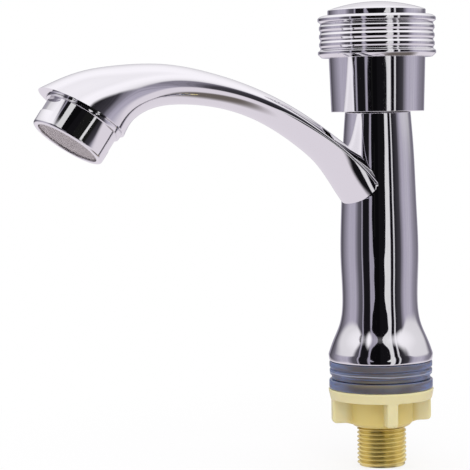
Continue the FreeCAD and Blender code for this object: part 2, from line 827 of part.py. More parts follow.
def handle_screw():
    head_z = well_floor_z + screw_washer_h
    shape = rod(screw_head_r, head_z, head_z + screw_head_h)
    shape = shape.fuse(rod(screw_thread_r, spindle_top_z - screw_h + screw_end_gap, head_z))
    top = head_z + screw_head_h
    half = screw_slot_w / 2
    reach = screw_head_r * screw_slot_reach
    for x, y in ((reach, half), (half, reach)):
        shape = shape.cut(block(-x, x, -y, y, top - screw_slot_depth, top + 1))
    return shape


def screw_washer():
    return ring(screw_thread_r + loose_gap, screw_washer_r, well_floor_z, well_floor_z + screw_washer_h)


nodes = {
    "tap_body": tap_body(),
    "inlet_tail": inlet_tail(),
    "tail_seal": tail_seal(),
    "base_gasket": base_gasket(),
    "deck_washer": deck_washer(),
    "backnut": backnut(),
    "aerator_housing": on_outlet_axis(aerator_housing()),
    "aerator_washer": on_outlet_axis(aerator_washer()),
    "aerator_insert": on_outlet_axis(aerator_insert()),
    "aerator_screens": on_outlet_axis(aerator_screens()),
    "outlet_mesh": on_outlet_axis(outlet_mesh()),
    "cartridge_housing": cartridge_housing(),
    "housing_gasket": housing_gasket(),
    "seat_seal": seat_seal(),
    "fixed_disc": fixed_disc(),
    "rotating_disc": rotating_disc(),
    "thrust_washer": thrust_washer(),
    "spindle": spindle(),
    "spindle_o_rings": spindle_o_rings(),
    "spindle_clip": spindle_clip(),
    "handle_knob": handle_knob(),
    "handle_screw": handle_screw(),
    "screw_washer": screw_washer(),
    "handle_cap": handle_cap(),
}

os.makedirs("parts", exist_ok=True)
for name, shape in nodes.items():
    shape.exportStep("parts/" + name + ".step")
    state = "valid" if shape.isValid() else "NOT VALID"
    print(name, state, len(shape.Solids), "solids", round(shape.Volume), "mm3")
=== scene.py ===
import json
import math

import bpy
import numpy as np
from mathutils import Matrix, Vector


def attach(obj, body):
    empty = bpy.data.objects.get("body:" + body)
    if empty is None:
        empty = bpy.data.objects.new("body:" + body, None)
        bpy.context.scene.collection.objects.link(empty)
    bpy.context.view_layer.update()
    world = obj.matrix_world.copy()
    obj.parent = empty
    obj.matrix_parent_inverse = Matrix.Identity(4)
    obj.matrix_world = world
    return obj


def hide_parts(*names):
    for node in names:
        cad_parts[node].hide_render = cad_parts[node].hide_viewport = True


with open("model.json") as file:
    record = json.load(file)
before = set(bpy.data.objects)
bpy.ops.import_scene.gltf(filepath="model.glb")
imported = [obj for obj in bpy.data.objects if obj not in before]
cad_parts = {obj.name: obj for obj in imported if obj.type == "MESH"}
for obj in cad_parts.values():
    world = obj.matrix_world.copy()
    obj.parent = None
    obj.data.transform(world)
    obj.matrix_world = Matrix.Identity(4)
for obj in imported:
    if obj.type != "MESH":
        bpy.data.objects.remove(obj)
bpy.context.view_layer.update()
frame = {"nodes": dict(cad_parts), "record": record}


# The tap's body: pillar and arched spout, cast in brass as one piece, ground and polished by
# hand and chromed. The headwork screws into its chamber, the tail and the outlet into its ends.
mm = 0.001
weld = 0.002 * mm        # points closer than this are one

# Outside of the pillar, radius and height in mm, from the flared base to the rim
base_corners = [(0.0, 0.0), (21.9, 0.0, 1.1), (22.2, 3.0)]
pillar_line = [(22.2, 3.0), (20.4, 8.1), (17.3, 15.7), (16.0, 26.5), (16.5, 43.0), (15.9, 67.0),
               (15.0, 90.0), (13.4, 111.0)]
rim_z, rim_round = 111.0, 0.4
pillar_rows, pillar_steps = 90, 128

# Stations of the spout in mm: reach and height of its back, reach and height of its underside,
# its width, the share of the depth above the side edge, and how soft that edge is
spout_stations = [
    (-4.0, 74.5, 10.0, 60.0, 25.6, 0.42, 0.04),
    (5.6, 84.2, 18.4, 70.8, 26.6, 0.42, 0.04),
    (17.6, 92.6, 27.4, 83.0, 25.4, 0.42, 0.06),
    (29.5, 100.7, 37.4, 91.5, 23.8, 0.42, 0.12),
    (45.5, 110.2, 51.3, 100.2, 22.4, 0.42, 0.22),
    (64.0, 118.2, 67.6, 106.8, 22.0, 0.44, 0.30),
    (83.0, 123.7, 83.9, 109.8, 23.2, 0.46, 0.38),
    (101.8, 126.5, 99.0, 110.0, 26.6, 0.48, 0.45),
    (120.0, 126.0, 109.4, 107.4, 31.0, 0.50, 0.48),
    (136.4, 123.4, 116.0, 103.0, 35.2, 0.50, 0.50),
]
spout_rings = 72

# The spout's mouth: the middle, tilt and size of its oval, and the rounding of its lip
mouth_reach, mouth_z, mouth_tilt = 135.4, 107.6, math.radians(32.0)
mouth_length, mouth_width, mouth_share, mouth_softness = 38.0, 37.6, 0.5, 0.5
lip_round = 0.9

# Where the outlet ring is seated in the mouth, and how its axis leans
outlet_reach, outlet_z, outlet_tilt = 133.57, 107.42, math.radians(35.0)


def spline(rows, count):
    """Rows of numbers joined by a natural cubic spline, read again at evenly spaced steps."""
    rows = np.array(rows, float)
    chords = np.linalg.norm(np.diff(rows, axis=0), axis=1)
    at = np.concatenate(([0.0], np.cumsum(chords)))
    last = len(rows) - 1
    system, load = np.eye(last + 1), np.zeros_like(rows)
    for i in range(1, last):
        a, b = chords[i - 1], chords[i]
        system[i, i - 1:i + 2] = a, 2 * (a + b), b
        load[i] = 6 * ((rows[i + 1] - rows[i]) / b - (rows[i] - rows[i - 1]) / a)
    bend = np.linalg.solve(system, load)
    out = []
    for t in np.linspace(0, at[-1], count):
        i = min(np.searchsorted(at, t, side="right") - 1, last - 1)
        h, u, v = chords[i], at[i + 1] - t, t - at[i]
        curve = (bend[i] * u ** 3 + bend[i + 1] * v ** 3) / (6 * h)
        out.append(curve + (rows[i] / h - bend[i] * h / 6) * u
                   + (rows[i + 1] / h - bend[i + 1] * h / 6) * v)
    return np.array(out)


def rounded(corners, steps=5):
    """Outline through corners given as radius, height and, where one is rounded off, its size."""
    points = []
    for i, corner in enumerate(corners):
        here = np.array(corner[:2], float)
        if len(corner) < 3:
            points.append(tuple(here))
            continue
        before = np.array(corners[i - 1][:2]) - here
        after = np.array(corners[i + 1][:2]) - here
        before, after = before / np.linalg.norm(before), after / np.linalg.norm(after)
        half = math.acos(np.dot(before, after)) / 2
        inward = (before + after) / np.linalg.norm(before + after)
        centre = here + inward * corner[2] / math.sin(half)
        start = here + before * corner[2] / math.tan(half) - centre
        end = here + after * corner[2] / math.tan(half) - centre
        sweep = math.pi - 2 * half
        for t in np.linspace(0, sweep, steps + 1):
            spoke = (math.sin(sweep - t) * start + math.sin(t) * end) / math.sin(sweep)
            points.append(tuple(centre + spoke))
    return points


def turned(name, outline, steps=96):
    """A turned piece: one vertex is extruded along the outline and the line is spun round Z."""
    bpy.ops.object.select_all(action="DESELECT")
    bpy.ops.mesh.primitive_plane_add(size=mm, location=(0, 0, 0))
    piece = bpy.context.object
    piece.name = piece.data.name = name
    bpy.ops.object.mode_set(mode="EDIT")
    bpy.ops.mesh.select_mode(type="VERT")
    bpy.ops.mesh.merge(type="CENTER")
    bpy.ops.transform.translate(value=(outline[0][0] * mm, 0, outline[0][1] * mm))
    for (r0, z0), (r1, z1) in zip(outline, outline[1:]):
        bpy.ops.mesh.extrude_region_move(
            TRANSFORM_OT_translate={"value": ((r1 - r0) * mm, 0, (z1 - z0) * mm)})
    bpy.ops.mesh.select_all(action="SELECT")
    bpy.ops.mesh.spin(steps=steps, angle=2 * math.pi, center=(0, 0, 0), axis=(0, 0, 1))
    bpy.ops.mesh.select_all(action="SELECT")
    bpy.ops.mesh.remove_doubles(threshold=weld)
    bpy.ops.mesh.normals_make_consistent(inside=False)
    bpy.ops.object.mode_set(mode="OBJECT")
    return piece


def skin(name, rings):
    """A closed skin over rings of points in mm, each ending where it starts: a grid is laid along
    the rings, sewn up and capped."""
    rows, columns = len(rings), len(rings[0])
    bpy.ops.object.select_all(action="DESELECT")
    bpy.ops.mesh.primitive_grid_add(x_subdivisions=columns - 1, y_subdivisions=rows - 1, size=1)
    piece = bpy.context.object
    piece.name = piece.data.name = name
    for vertex in piece.data.vertices:
        column = round((vertex.co.x + 0.5) * (columns - 1))
        row = round((vertex.co.y + 0.5) * (rows - 1))
        vertex.co = Vector(rings[row][column]) * mm
    bpy.ops.object.mode_set(mode="EDIT")
    bpy.ops.mesh.select_all(action="SELECT")
    bpy.ops.mesh.remove_doubles(threshold=weld)
    bpy.ops.mesh.fill_holes(sides=0)
    bpy.ops.mesh.normals_make_consistent(inside=False)
    bpy.ops.object.mode_set(mode="OBJECT")
    return piece


def oval(back_y, back_z, under_y, under_z, width, share, softness):
    """Ring of six tangent arcs across the spout, in the plane of its back and its underside."""
    back, under = np.array((back_y, back_z)), np.array((under_y, under_z))
    depth = np.linalg.norm(back - under)
    lift = (back - under) / depth
    middle = under + lift * depth * (1 - share)
    side = width / 2
    edge_steps, crown_steps = 6, 20
    ring = []
    for sign, reach in ((1, depth * share), (-1, depth * (1 - share))):
        sharpest = math.pi / 2 - 2 * math.atan(reach / side)
        turn = sharpest + (math.pi / 2 - sharpest) * softness
        slope = (1 - math.sin(turn)) / math.cos(turn)
        edge_r = (reach - side * slope) / (1 - slope)
        crown_r = (side - edge_r) / math.cos(turn) + edge_r
        crown_y = reach - crown_r
        half = [(side - edge_r + edge_r * math.cos(t), edge_r * math.sin(t))
                for t in np.linspace(0, turn, edge_steps + 1)[:-1]]
        half += [(crown_r * math.cos(t), crown_y + crown_r * math.sin(t))
                 for t in np.linspace(turn, math.pi - turn, crown_steps + 1)]
        half += [(-(side - edge_r + edge_r * math.cos(t)), edge_r * math.sin(t))
                 for t in np.linspace(turn, 0, edge_steps + 1)[1:-1]]
        for x, y in half:
            y *= sign
            ring.append((sign * x, -(middle[0] + lift[0] * y), middle[1] + lift[1] * y))
    return ring + ring[:1]


def cut(piece, tool, operation="DIFFERENCE"):
    """Cuts the tool out of the piece, or joins it on, and removes the tool."""
    bpy.ops.object.select_all(action="DESELECT")
    bpy.context.view_layer.objects.active = piece
    boolean = piece.modifiers.new("cut", "BOOLEAN")
    boolean.operation = operation
    boolean.object = tool
    boolean.solver = "EXACT"
    bpy.ops.object.modifier_apply(modifier=boolean.name)
    bpy.data.objects.remove(tool)
    bpy.ops.object.mode_set(mode="EDIT")
    bpy.ops.mesh.select_all(action="SELECT")
    bpy.ops.mesh.remove_doubles(threshold=weld)
    bpy.ops.object.mode_set(mode="OBJECT")


def place_on_outlet(piece):
    """Lays a piece drawn on Z, with the outlet's seat at its origin, on the outlet's axis."""
    turn = Matrix.Rotation(-outlet_tilt, 4, "X")
    piece.data.transform(Matrix.Translation((0, -outlet_reach * mm, outlet_z * mm)) @ turn)


def smooth(piece, degrees=32):
    """Smooth shading up to this angle between faces."""
    bpy.ops.object.select_all(action="DESELECT")
    piece.select_set(True)
    bpy.context.view_layer.objects.active = piece
    bpy.ops.object.shade_smooth_by_angle(angle=math.radians(degrees))


def finish_piece(piece, body, slot, material, *nodes):
    """Gives a piece its material and its body, and puts it in place of CAD nodes. The slot is not
    used.
    """
    piece.data.materials.clear()
    piece.data.materials.append(material)
    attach(piece, body)
    if nodes:
        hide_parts(*nodes)


def add_node(tree, kind, settings=None, **inputs):
    """Adds a shader node. An input is a plain value, or the socket that feeds it."""
    new = tree.nodes.new("ShaderNode" + kind)
    for key, value in (settings or {}).items():
        setattr(new, key, value)
    for key, value in inputs.items():
        socket = new.inputs[int(key[1:]) if key[0] == "_" else key.replace("_", " ")]
        if isinstance(value, bpy.types.NodeSocket):
            tree.links.new(value, socket)
        else:
            socket.default_value = value
    return new


def new_group(name, inputs, outputs):
    """A shader node group with named float inputs and their defaults, and named outputs."""
    group = bpy.data.node_groups.new(name, "ShaderNodeTree")
    for key, value in inputs.items():
        socket = group.interface.new_socket(key, in_out="INPUT", socket_type="NodeSocketFloat")
        socket.default_value = value
    for key, kind in outputs.items():
        group.interface.new_socket(key, in_out="OUTPUT", socket_type="NodeSocket" + kind)
    return group, group.nodes.new("NodeGroupInput"), group.nodes.new("NodeGroupOutput")


def new_material(name, **values):
    """A material with one Principled shader, plain values set on it, and object coordinates."""
    material = bpy.data.materials.new(name)
    material.use_nodes = True
    tree = material.node_tree
    shader = tree.nodes["Principled BSDF"]
    for key, value in values.items():
        shader.inputs[key.replace("_", " ")].default_value = value
    place = add_node(tree, "TexCoord").outputs["Object"]
    return material, tree, shader, place


# Hand polishing leaves long shallow waves in the metal and fine hairlines over them
polish, given, made = new_group(
    "polished_metal", {"Roughness": 0.04, "Wave size": 60.0, "Hairlines": 0.02},
    {"Roughness": "Float", "Height": "Float"})
place = add_node(polish, "TexCoord").outputs["Object"]
waves = add_node(polish, "TexNoise", Vector=place, Scale=given.outputs["Wave size"], Detail=1.0)
smudges = add_node(polish, "TexNoise", Vector=place, Scale=140.0, Detail=3.0)
hairs = add_node(polish, "TexNoise", Vector=place, Scale=2600.0, Detail=2.0)
soft = add_node(polish, "MapRange", Value=smudges.outputs["Fac"], _1=0.45, _2=0.75, _3=0.0, _4=0.03)
total = add_node(polish, "Math", {"operation": "ADD"}, _0=soft.outputs[0],
                 _1=given.outputs["Roughness"])
fine = add_node(polish, "Math", {"operation": "MULTIPLY"}, _0=hairs.outputs["Fac"],
                _1=given.outputs["Hairlines"])
height = add_node(polish, "Math", {"operation": "ADD"}, _0=waves.outputs["Fac"], _1=fine.outputs[0])
polish.links.new(total.outputs[0], made.inputs["Roughness"])
polish.links.new(height.outputs[0], made.inputs["Height"])


def chrome_finish(name, colour, roughness, wave_size, wave_depth):
    """Chrome plating with its own depth and length of polishing waves."""
    material, tree, shader, _ = new_material(name, Base_Color=colour, Metallic=1.0)
    worn = add_node(tree, "Group", {"node_tree": polish}, Roughness=roughness, Wave_size=wave_size)
    tree.links.new(worn.outputs["Roughness"], shader.inputs["Roughness"])
    bump = add_node(tree, "Bump", Height=worn.outputs["Height"], Strength=1.0, Distance=wave_depth)
    tree.links.new(bump.outputs["Normal"], shader.inputs["Normal"])
    return material


cast_chrome = chrome_finish("chrome_on_cast_brass", (0.86, 0.85, 0.87, 1), 0.035, 70.0, 0.00006)

outline = rounded(base_corners) + [tuple(row) for row in spline(pillar_line, pillar_rows)[1:-1]]
outline += rounded([pillar_line[-2], (pillar_line[-1][0], rim_z, rim_round), (0.0, rim_z)])[1:]
casting = turned("tap_casting", outline, pillar_steps)

half_y, half_z = mouth_length / 2 * math.cos(mouth_tilt), mouth_length / 2 * math.sin(mouth_tilt)
mouth = (mouth_reach + half_y, mouth_z + half_z, mouth_reach - half_y, mouth_z - half_z,
         mouth_width, mouth_share, mouth_softness)
spout = skin("spout", [oval(*row) for row in spline(spout_stations + [mouth], spout_rings)])
outward = Vector((0, -math.sin(mouth_tilt), -math.cos(mouth_tilt)))
for face in spout.data.polygons:
    face.select = face.normal.dot(outward) > 0.999 and len(face.vertices) > 8
bpy.ops.object.mode_set(mode="EDIT")
bpy.ops.mesh.select_mode(type="FACE")
bpy.ops.mesh.region_to_loop()
bpy.ops.mesh.bevel(offset=lip_round * mm, segments=5, affect="EDGES")
bpy.ops.object.mode_set(mode="OBJECT")
cut(casting, spout, "UNION")

# Chamber, valve seat, riser and the tail's socket, then the ring cored out of the base. The
# cutting tools run out of the metal at both ends.
bore_r, seat_r, riser_r = 10.538, 5.5, 8.6
seat_z, riser_top_z, riser_z, tail_socket_z = 84.5, 72.0, 66.0, 15.6
relief_inner_r, relief_outer_r, relief_top = 13.6, 18.2, 7.0
overrun = 1.0
cut(casting, turned("bores", [
    (0.0, -overrun), (bore_r, -overrun), (bore_r, tail_socket_z), (riser_r, tail_socket_z),
    (riser_r, riser_z), (seat_r, riser_top_z), (seat_r, seat_z), (bore_r, seat_z),
    (bore_r, rim_z + overrun), (0.0, rim_z + overrun)]))
cut(casting, turned("relief", [
    (relief_inner_r, -overrun), (relief_outer_r, -overrun), (relief_outer_r, relief_top),
    (relief_inner_r, relief_top), (relief_inner_r, -overrun)]))

# Socket for the outlet ring: room for its collar, its thread's bore and the space above it
collar_r, collar_gap, collar_room = 16.4, 0.3, 4.0
thread_bore_r, thread_bore_top, space_r, space_top = 13.76, 5.8, 10.6, 9.0
mouth_tool = turned("socket", [
    (0.0, -collar_room), (collar_r + collar_gap, -collar_room), (collar_r + collar_gap, 0.0),
    (thread_bore_r, 0.0), (thread_bore_r, thread_bore_top), (space_r, thread_bore_top),
    (space_r, space_top), (0.0, space_top)])
place_on_outlet(mouth_tool)
cut(casting, mouth_tool)
smooth(casting)
finish_piece(casting, "tap", "chrome", cast_chrome, "tap_body")


# The tail: a brass tube with a half-inch pipe thread, screwed into the base. The supply hose goes
# on its lower end. The thread is laid as rings that climb one pitch a turn, trimmed at the ends.
tail_top, tail_foot = 14.1, -44.9
tail_r, tail_bore_r, tail_edge = 10.478, 7.6, 1.0
thread_pitch, thread_depth = 1.814, 1.0
thread_steps = 72
thread_form = [(0.0, 0.0), (0.08, 0.06), (0.42, 0.94), (0.5, 1.0), (0.58, 0.94), (0.92, 0.06)]


def thread_point(turn, height):
    """Point on the thread's outside at a share of a turn, with the height kept to the tail."""
    z = min(max(height, tail_foot), tail_top)
    phases, depths = zip(*thread_form, (1.0, 0.0))
    depth = thread_depth * np.interp(((z - tail_foot) / thread_pitch - turn) % 1.0, phases, depths)
    bevel = tail_edge - min(z - tail_foot, tail_top - z)
    r = tail_r - max(depth, bevel)
    return (r * math.cos(2 * math.pi * turn), r * math.sin(2 * math.pi * turn), z)


turns = [i / thread_steps for i in range(thread_steps + 1)]
rings = []
for i in range(-1, math.ceil((tail_top - tail_foot) / thread_pitch) + 1):
    for phase, _ in thread_form:
        rings.append([thread_point(turn, tail_foot + thread_pitch * (i + phase + turn))
                      for turn in turns])
for height in (tail_top, tail_foot):
    rings.append([(tail_bore_r * math.cos(2 * math.pi * turn),
                   tail_bore_r * math.sin(2 * math.pi * turn), height) for turn in turns])
tail = skin("threaded_tail", rings + rings[:1])
smooth(tail, 28)


def two_tone(tree, shader, place, scale, detail, dark, light):
    """Colour that wanders between two tones in blotches of this scale."""
    blotches = add_node(tree, "TexNoise", Vector=place, Scale=scale, Detail=detail)
    tone = add_node(tree, "ValToRGB", Fac=blotches.outputs["Fac"])
    for element, colour in zip(tone.color_ramp.elements, (dark, light)):
        element.color = (*colour, 1)
    tree.links.new(tone.outputs["Color"], shader.inputs["Base Color"])
    return tone


brass, tree, shader, place = new_material("cut_brass", Metallic=1.0)
two_tone(tree, shader, place, 220.0, 2.0, (0.98, 0.78, 0.28), (1.0, 0.90, 0.42))
worn = add_node(tree, "Group", {"node_tree": polish}, Roughness=0.36, Wave_size=400.0,
                Hairlines=0.2)
tree.links.new(worn.outputs["Roughness"], shader.inputs["Roughness"])
bump = add_node(tree, "Bump", Height=worn.outputs["Height"], Strength=0.5, Distance=0.00005)
tree.links.new(bump.outputs["Normal"], shader.inputs["Normal"])
finish_piece(tail, "tap", "brass", brass, "inlet_tail")


# The outlet ring: turned from brass and chromed, with a collar that meets the lip, two flats for
# a spanner, and a plain barrel. It screws into the mouth and holds the mesh, screens and insert.
flats_top, flats_foot, barrel_foot = -2.6, -8.6, -14.2
barrel_r, across_flats = 15.5, 27.6
thread_r, thread_top, ring_bore_r = 13.7, 4.5, 12.3
outlet_lip_r, lip_top, mesh_seat_r, seat_top = 13.2, -13.5, 13.6, -12.9
thread_edge, collar_edge, collar_under_edge, barrel_edge = 0.5, 0.25, 0.3, 0.9
lip_edge, lip_inner_edge, flats_bevel = 0.25, 0.1, 0.12
mill_length, mill_depth = 40.0, 10.0

outlet_ring = turned("outlet_ring", rounded([
    (ring_bore_r, thread_top), (thread_r - thread_edge, thread_top),
    (thread_r, thread_top - thread_edge), (thread_r, 0.0), (collar_r, 0.0, collar_edge),
    (collar_r, flats_top, collar_under_edge), (barrel_r, flats_top),
    (barrel_r, barrel_foot, barrel_edge), (outlet_lip_r, barrel_foot, lip_edge),
    (outlet_lip_r, lip_top, lip_inner_edge), (mesh_seat_r, lip_top), (mesh_seat_r, seat_top),
    (ring_bore_r, seat_top), (ring_bore_r, thread_top)]), 128)
for sign in (-1, 1):
    bpy.ops.object.select_all(action="DESELECT")
    bpy.ops.mesh.primitive_cube_add(
        size=1, location=(0, sign * (across_flats / 2 + mill_depth / 2) * mm,
                          (flats_top + flats_foot) / 2 * mm),
        scale=(mill_length * mm, mill_depth * mm, (flats_top - flats_foot) * mm))
    tool = bpy.context.object
    bpy.ops.object.transform_apply(location=True, rotation=True, scale=True)
    cut(outlet_ring, tool)
bevel = outlet_ring.modifiers.new("edges", "BEVEL")
bevel.width = flats_bevel * mm
bevel.segments = 2
bevel.limit_method = "ANGLE"
bevel.angle_limit = math.radians(40)
bpy.context.view_layer.objects.active = outlet_ring
bpy.ops.object.modifier_apply(modifier=bevel.name)
place_on_outlet(outlet_ring)
smooth(outlet_ring)
ring_chrome = chrome_finish("chrome_on_turned_brass", (0.86, 0.85, 0.87, 1), 0.04, 90.0, 0.00002)
finish_piece(outlet_ring, "tap", "chrome", ring_chrome, "aerator_housing")


# The mesh across the outlet: stainless wire woven over and under, cut round and held by the
# ring's lip. The wires are lines of a grid, each second crossing lifted, thickened as curves.
mesh_r, mesh_z, wire_pitch, wire_r = 13.4, -13.2, 0.72, 0.15
wires = 2 * round(mesh_r / wire_pitch)
span = wires * wire_pitch

bpy.ops.object.select_all(action="DESELECT")
bpy.ops.mesh.primitive_grid_add(x_subdivisions=wires, y_subdivisions=wires, size=span * mm)
warp = bpy.context.object
warp.name = warp.data.name = "outlet_wires"
for vertex in warp.data.vertices:
    column, row = (round((c / mm + span / 2) / wire_pitch) for c in vertex.co[:2])
    vertex.co.z = (wire_r if (column + row) % 2 else -wire_r) * mm
bpy.ops.object.mode_set(mode="EDIT")
bpy.ops.mesh.select_mode(type="EDGE")
bpy.ops.mesh.select_all(action="DESELECT")
bpy.ops.object.mode_set(mode="OBJECT")
for edge in warp.data.edges:
    a, b = (warp.data.vertices[i].co for i in edge.vertices)
    edge.select = abs(a.y - b.y) > 0.1 * wire_pitch * mm
bpy.ops.object.mode_set(mode="EDIT")
bpy.ops.mesh.delete(type="EDGE")
bpy.ops.mesh.select_mode(type="VERT")
bpy.ops.mesh.select_all(action="DESELECT")
bpy.ops.object.mode_set(mode="OBJECT")
for vertex in warp.data.vertices:
    vertex.select = vertex.co.xy.length > mesh_r * mm
bpy.ops.object.mode_set(mode="EDIT")
bpy.ops.mesh.delete(type="VERT")
bpy.ops.mesh.select_all(action="SELECT")
bpy.ops.mesh.duplicate()
bpy.ops.transform.rotate(value=math.pi / 2, orient_axis="Z", center_override=(0, 0, 0))
bpy.ops.object.mode_set(mode="OBJECT")
bpy.ops.object.convert(target="CURVE")
warp = bpy.context.object
warp.data.bevel_depth = wire_r * mm
warp.data.bevel_resolution = 1
bpy.ops.object.convert(target="MESH")
woven = bpy.context.object
bpy.ops.object.mode_set(mode="EDIT")
bpy.ops.mesh.select_all(action="SELECT")
bpy.ops.mesh.fill_holes(sides=0)
bpy.ops.object.mode_set(mode="OBJECT")
woven.name = woven.data.name = "outlet_wires"
woven.data.transform(Matrix.Translation((0, 0, mesh_z * mm)))
place_on_outlet(woven)
smooth(woven, 80)

steel, tree, shader, place = new_material("drawn_steel", Metallic=1.0)
two_tone(tree, shader, place, 500.0, 3.0, (0.62, 0.58, 0.57), (0.86, 0.82, 0.81))
worn = add_node(tree, "Group", {"node_tree": polish}, Roughness=0.22, Wave_size=300.0,
                Hairlines=0.2)
tree.links.new(worn.outputs["Roughness"], shader.inputs["Roughness"])
finish_piece(woven, "tap", "steel", steel, "outlet_mesh")


# The handle: a thin chromed shell turned in one piece. A plain skirt turns over the pillar, five
# ribs give grip, and the toothed boss inside takes the spindle. The cap's well is open upwards.
skirt_z, block_z = 105.9, 128.8
skirt_foot_r, skirt_top_r, skirt_wall = 19.6, 20.35, 1.7
skirt_inner_edge, skirt_edge, skirt_top_edge, block_edge = 0.2, 0.3, 0.15, 0.2
rib_count, rib_pitch, rib_lift, rib_foot, rib_flat = 5, 3.47, 0.6, 2.75, 1.15
rib_r, rib_middle_r, groove_r, block_r = 24.9, 24.35, 23.8, 23.4
crest_round, groove_round = 0.45, 0.3
cap_seat_r, cap_seat_z, shoulder_bulge = 20.9, 146.055, 0.6
well_r, well_floor_z, floor_h, wall = 16.6, 138.4, 2.5, 1.8
boss_r, boss_z, spline_r, screw_hole_r = 6.4, 124.6, 4.05, 2.3


def arc(start, via, end, steps):
    """Points of the circle through three points, from the first to the last."""
    (ax, ay), (bx, by), (cx, cy) = start, via, end
    d = 2 * (ax * (by - cy) + bx * (cy - ay) + cx * (ay - by))
    ux = ((ax * ax + ay * ay) * (by - cy) + (bx * bx + by * by) * (cy - ay)
          + (cx * cx + cy * cy) * (ay - by)) / d
    uy = ((ax * ax + ay * ay) * (cx - bx) + (bx * bx + by * by) * (ax - cx)
          + (cx * cx + cy * cy) * (bx - ax)) / d
    r = math.hypot(ax - ux, ay - uy)
    a, b, c = (math.atan2(y - uy, x - ux) for x, y in (start, via, end))
    turn = (c - a) % (2 * math.pi)
    if (b - a) % (2 * math.pi) > turn:
        turn -= 2 * math.pi
    return [(ux + r * math.cos(a + turn * t), uy + r * math.sin(a + turn * t))
            for t in np.linspace(0, 1, steps + 1)]


ribs = []
for i in range(rib_count):
    middle = block_z + rib_lift + rib_foot / 2 + rib_pitch * i
    crest = rib_r if i in (0, rib_count - 1) else rib_middle_r
    ribs += [(groove_r, middle - rib_foot / 2, groove_round),
             (crest, middle - rib_flat / 2, crest_round),
             (crest, middle + rib_flat / 2, crest_round),
             (groove_r, middle + rib_foot / 2, groove_round)]
ribs[0] = (block_r, block_z, block_edge)
crest = ribs[-2][:2]
seat = (cap_seat_r, cap_seat_z)
bulge = tuple((a + b) / 2 + shoulder_bulge for a, b in zip(crest, seat))
shoulder = arc(crest, bulge, seat, 12)
inner_block = block_r - wall
ledge = cap_seat_z - wall
under_floor = well_floor_z - floor_h
outside = rounded([
    (skirt_top_r - skirt_wall, block_z), (skirt_foot_r - skirt_wall, skirt_z, skirt_inner_edge),
    (skirt_foot_r, skirt_z, skirt_edge), (skirt_top_r, block_z, skirt_top_edge)]
    + ribs[:-2] + [crest])
inside = [
    (well_r, cap_seat_z), (well_r, well_floor_z), (screw_hole_r, well_floor_z),
    (screw_hole_r, under_floor), (spline_r, under_floor), (spline_r, boss_z), (boss_r, boss_z),
    (boss_r, under_floor), (well_r + wall, under_floor), (well_r + wall, ledge),
    (inner_block, ledge), (inner_block, block_z + skirt_wall),
    (skirt_top_r - skirt_wall, block_z + skirt_wall), (skirt_top_r - skirt_wall, block_z)]
handle = turned("handle", outside + shoulder[1:] + inside, 160)

# Six webs tie the boss to the shell
web_w, web_h, web_count, web_turn, web_root = 1.4, 9.0, 6, math.radians(30.0), 0.3
skirt_bore, block_floor = skirt_top_r - skirt_wall, block_z + skirt_wall
web_corners = [
    (boss_r - web_root, under_floor - web_h), (skirt_bore + web_root, under_floor - web_h),
    (skirt_bore + web_root, block_floor - web_root),
    (inner_block + web_root, block_floor - web_root),
    (inner_block + web_root, under_floor + web_root), (boss_r - web_root, under_floor + web_root)]


def join_blades(piece, corners, width, count, first_turn, edge=0.0):
    """Upright blades set evenly round Z and joined on, their corners given as radius and height
    in mm and their edges rounded off."""
    for i in range(count):
        bpy.ops.object.select_all(action="DESELECT")
        bpy.ops.mesh.primitive_circle_add(vertices=len(corners), fill_type="NGON")
        blade = bpy.context.object
        for vertex, (r, z) in zip(blade.data.vertices, corners):
            vertex.co = (r * mm, -width / 2 * mm, z * mm)
        bpy.ops.object.mode_set(mode="EDIT")
        bpy.ops.mesh.select_all(action="SELECT")
        bpy.ops.mesh.extrude_region_move(TRANSFORM_OT_translate={"value": (0, width * mm, 0)})
        bpy.ops.mesh.select_all(action="SELECT")
        bpy.ops.mesh.normals_make_consistent(inside=False)
        if edge:
            bpy.ops.mesh.bevel(offset=edge * mm, segments=3, affect="EDGES")
        bpy.ops.object.mode_set(mode="OBJECT")
        blade.data.transform(Matrix.Rotation(first_turn + 2 * math.pi * i / count, 4, "Z"))
        cut(piece, blade, "UNION")


join_blades(handle, web_corners, web_w, web_count, web_turn)
smooth(handle)
handle_chrome = chrome_finish("chrome_on_handle", (0.86, 0.85, 0.87, 1), 0.04, 60.0, 0.00002)
finish_piece(handle, "handle", "chrome", handle_chrome, "handle_knob")


# The cap: a chromed dome with a short upright rim. Its ring snaps into the handle's well and
# covers the screw.
cap_r, cap_rim_h, rim_edge, rim_drop, dome_h = 20.7, 2.8, 0.3, 0.3, 3.4
cap_wall, cap_ring_r, cap_ring_depth = 1.3, 16.5, 4.6
cap_edge, cap_foot_edge = 0.2, 0.15

rim_top = cap_seat_z + cap_rim_h
dome_foot_r = cap_r - rim_edge
dome_r = (dome_foot_r ** 2 + dome_h ** 2) / (2 * dome_h)
dome_z = rim_top + dome_h - dome_r


def dome(radius, from_r, to_r, steps):
    """Points on a sphere round the dome's centre between two distances from the axis."""
    return [(r, dome_z + math.sqrt(radius ** 2 - r ** 2))
            for r in np.linspace(from_r, to_r, steps + 1)]


ring_inner_r = cap_ring_r - cap_wall
outline = dome(dome_r, 0.0, dome_foot_r, 24)
outline += rounded([outline[-1], (cap_r, rim_top - rim_drop, cap_edge),
                    (cap_r, cap_seat_z, cap_foot_edge), (cap_ring_r, cap_seat_z)])[1:]
outline += [(cap_ring_r, cap_seat_z - cap_ring_depth),
            (ring_inner_r, cap_seat_z - cap_ring_depth)]
outline += dome(dome_r - cap_wall, ring_inner_r, 0.0, 12)
cap = turned("handle_dome", outline, 128)
smooth(cap)
finish_piece(cap, "handle", "chrome", handle_chrome, "handle_cap")


